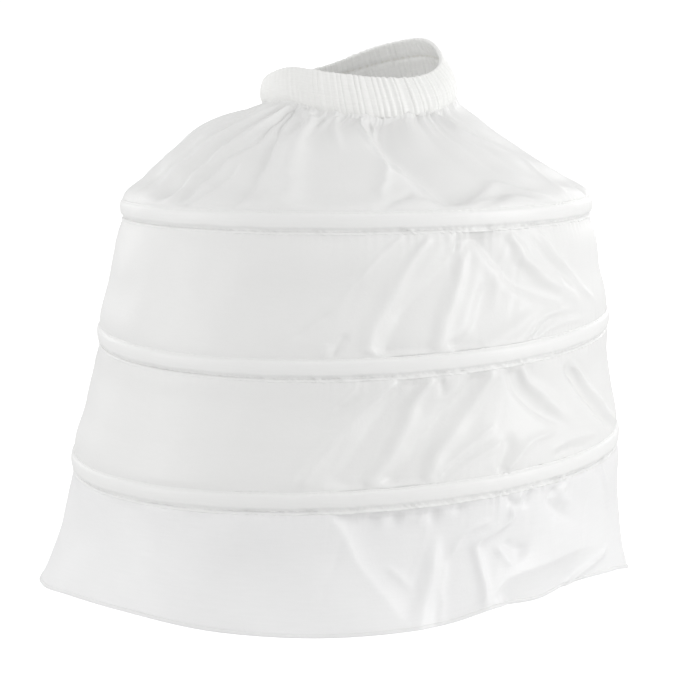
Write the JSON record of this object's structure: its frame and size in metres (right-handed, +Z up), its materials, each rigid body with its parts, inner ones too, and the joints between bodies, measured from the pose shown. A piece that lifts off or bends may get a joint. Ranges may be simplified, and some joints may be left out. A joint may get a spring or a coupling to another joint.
{
  "type": "hoop petticoat",
  "caption": "White crinoline underskirt: an elasticated waistband, a gathered yoke and tiers of thin satin held out by hoops in sewn casings, over a loose sheer flounce.",
  "frame": {"origin": "middle of the waist opening, half way up the waistband", "axes": "+Z up along the wearer's body, -Y to the wearer's front, +X to the right as seen from the front"},
  "size_m": [0.602, 0.602, 0.5237],
  "materials": {
    "waist_satin": "shirred polyester satin",
    "woven_elastic": "woven flat elastic",
    "skirt_satin": "thin polyester lining satin with a soft sheen",
    "hem_organza": "sheer polyester organza",
    "casing_tape": "folded satin tape",
    "hoop_steel": "flat spring strip",
    "joiner_tube": "clear plastic sleeve"
  },
  "bodies": {
    "root": {"waistband": "waist_satin", "waist_elastic": "woven_elastic", "yoke_front": "skirt_satin", "yoke_back": "skirt_satin", "upper_tier_front": "skirt_satin", "upper_tier_back": "skirt_satin", "lower_tier_front": "skirt_satin", "lower_tier_back": "skirt_satin", "flounce_front": "hem_organza", "flounce_back": "hem_organza", "casing_top": "casing_tape", "hoop_top": "hoop_steel", "joiner_top": "joiner_tube", "casing_middle": "casing_tape", "hoop_middle": "hoop_steel", "joiner_middle": "joiner_tube", "casing_bottom": "casing_tape", "hoop_bottom": "hoop_steel", "joiner_bottom": "joiner_tube"}
  },
  "joints": []
}
